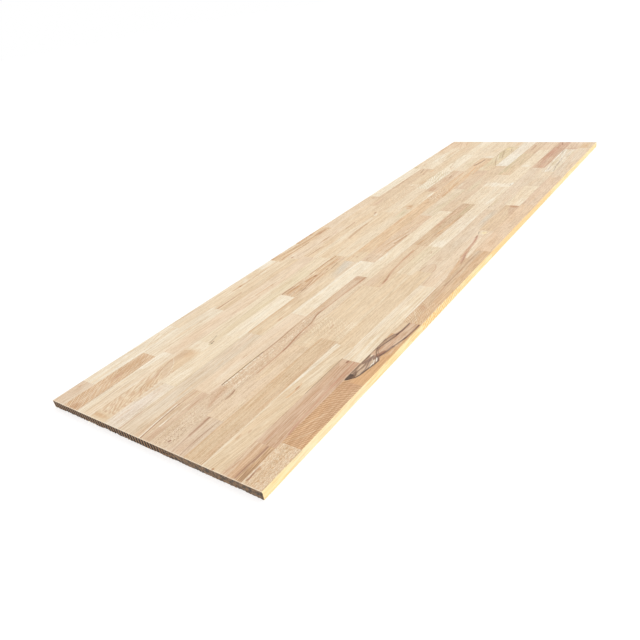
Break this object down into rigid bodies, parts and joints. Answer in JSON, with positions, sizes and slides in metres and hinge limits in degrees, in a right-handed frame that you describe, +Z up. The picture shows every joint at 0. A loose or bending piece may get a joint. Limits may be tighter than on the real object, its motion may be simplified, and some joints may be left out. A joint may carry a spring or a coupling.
{
  "type": "glued laminated wood panel",
  "caption": "Flat edge-glued panel of solid hardwood staves, butted end to end in rows, with square-cut ends and lightly eased arrises, for tops, shelves and stair parts.",
  "frame": {"origin": "middle of the underside", "axes": "+X along the grain and the panel's length, +Y across the rows, +Z up out of the show face"},
  "size_m": [2, 0.6, 0.018],
  "materials": {
    "wood": "planed and sanded, unfinished"
  },
  "bodies": {
    "root": {"stave_row_01": "wood", "stave_row_02": "wood", "stave_row_03": "wood", "stave_row_04": "wood", "stave_row_05": "wood", "stave_row_06": "wood", "stave_row_07": "wood", "stave_row_08": "wood", "stave_row_09": "wood", "stave_row_10": "wood", "stave_row_11": "wood", "stave_row_12": "wood", "stave_row_13": "wood"}
  },
  "joints": []
}
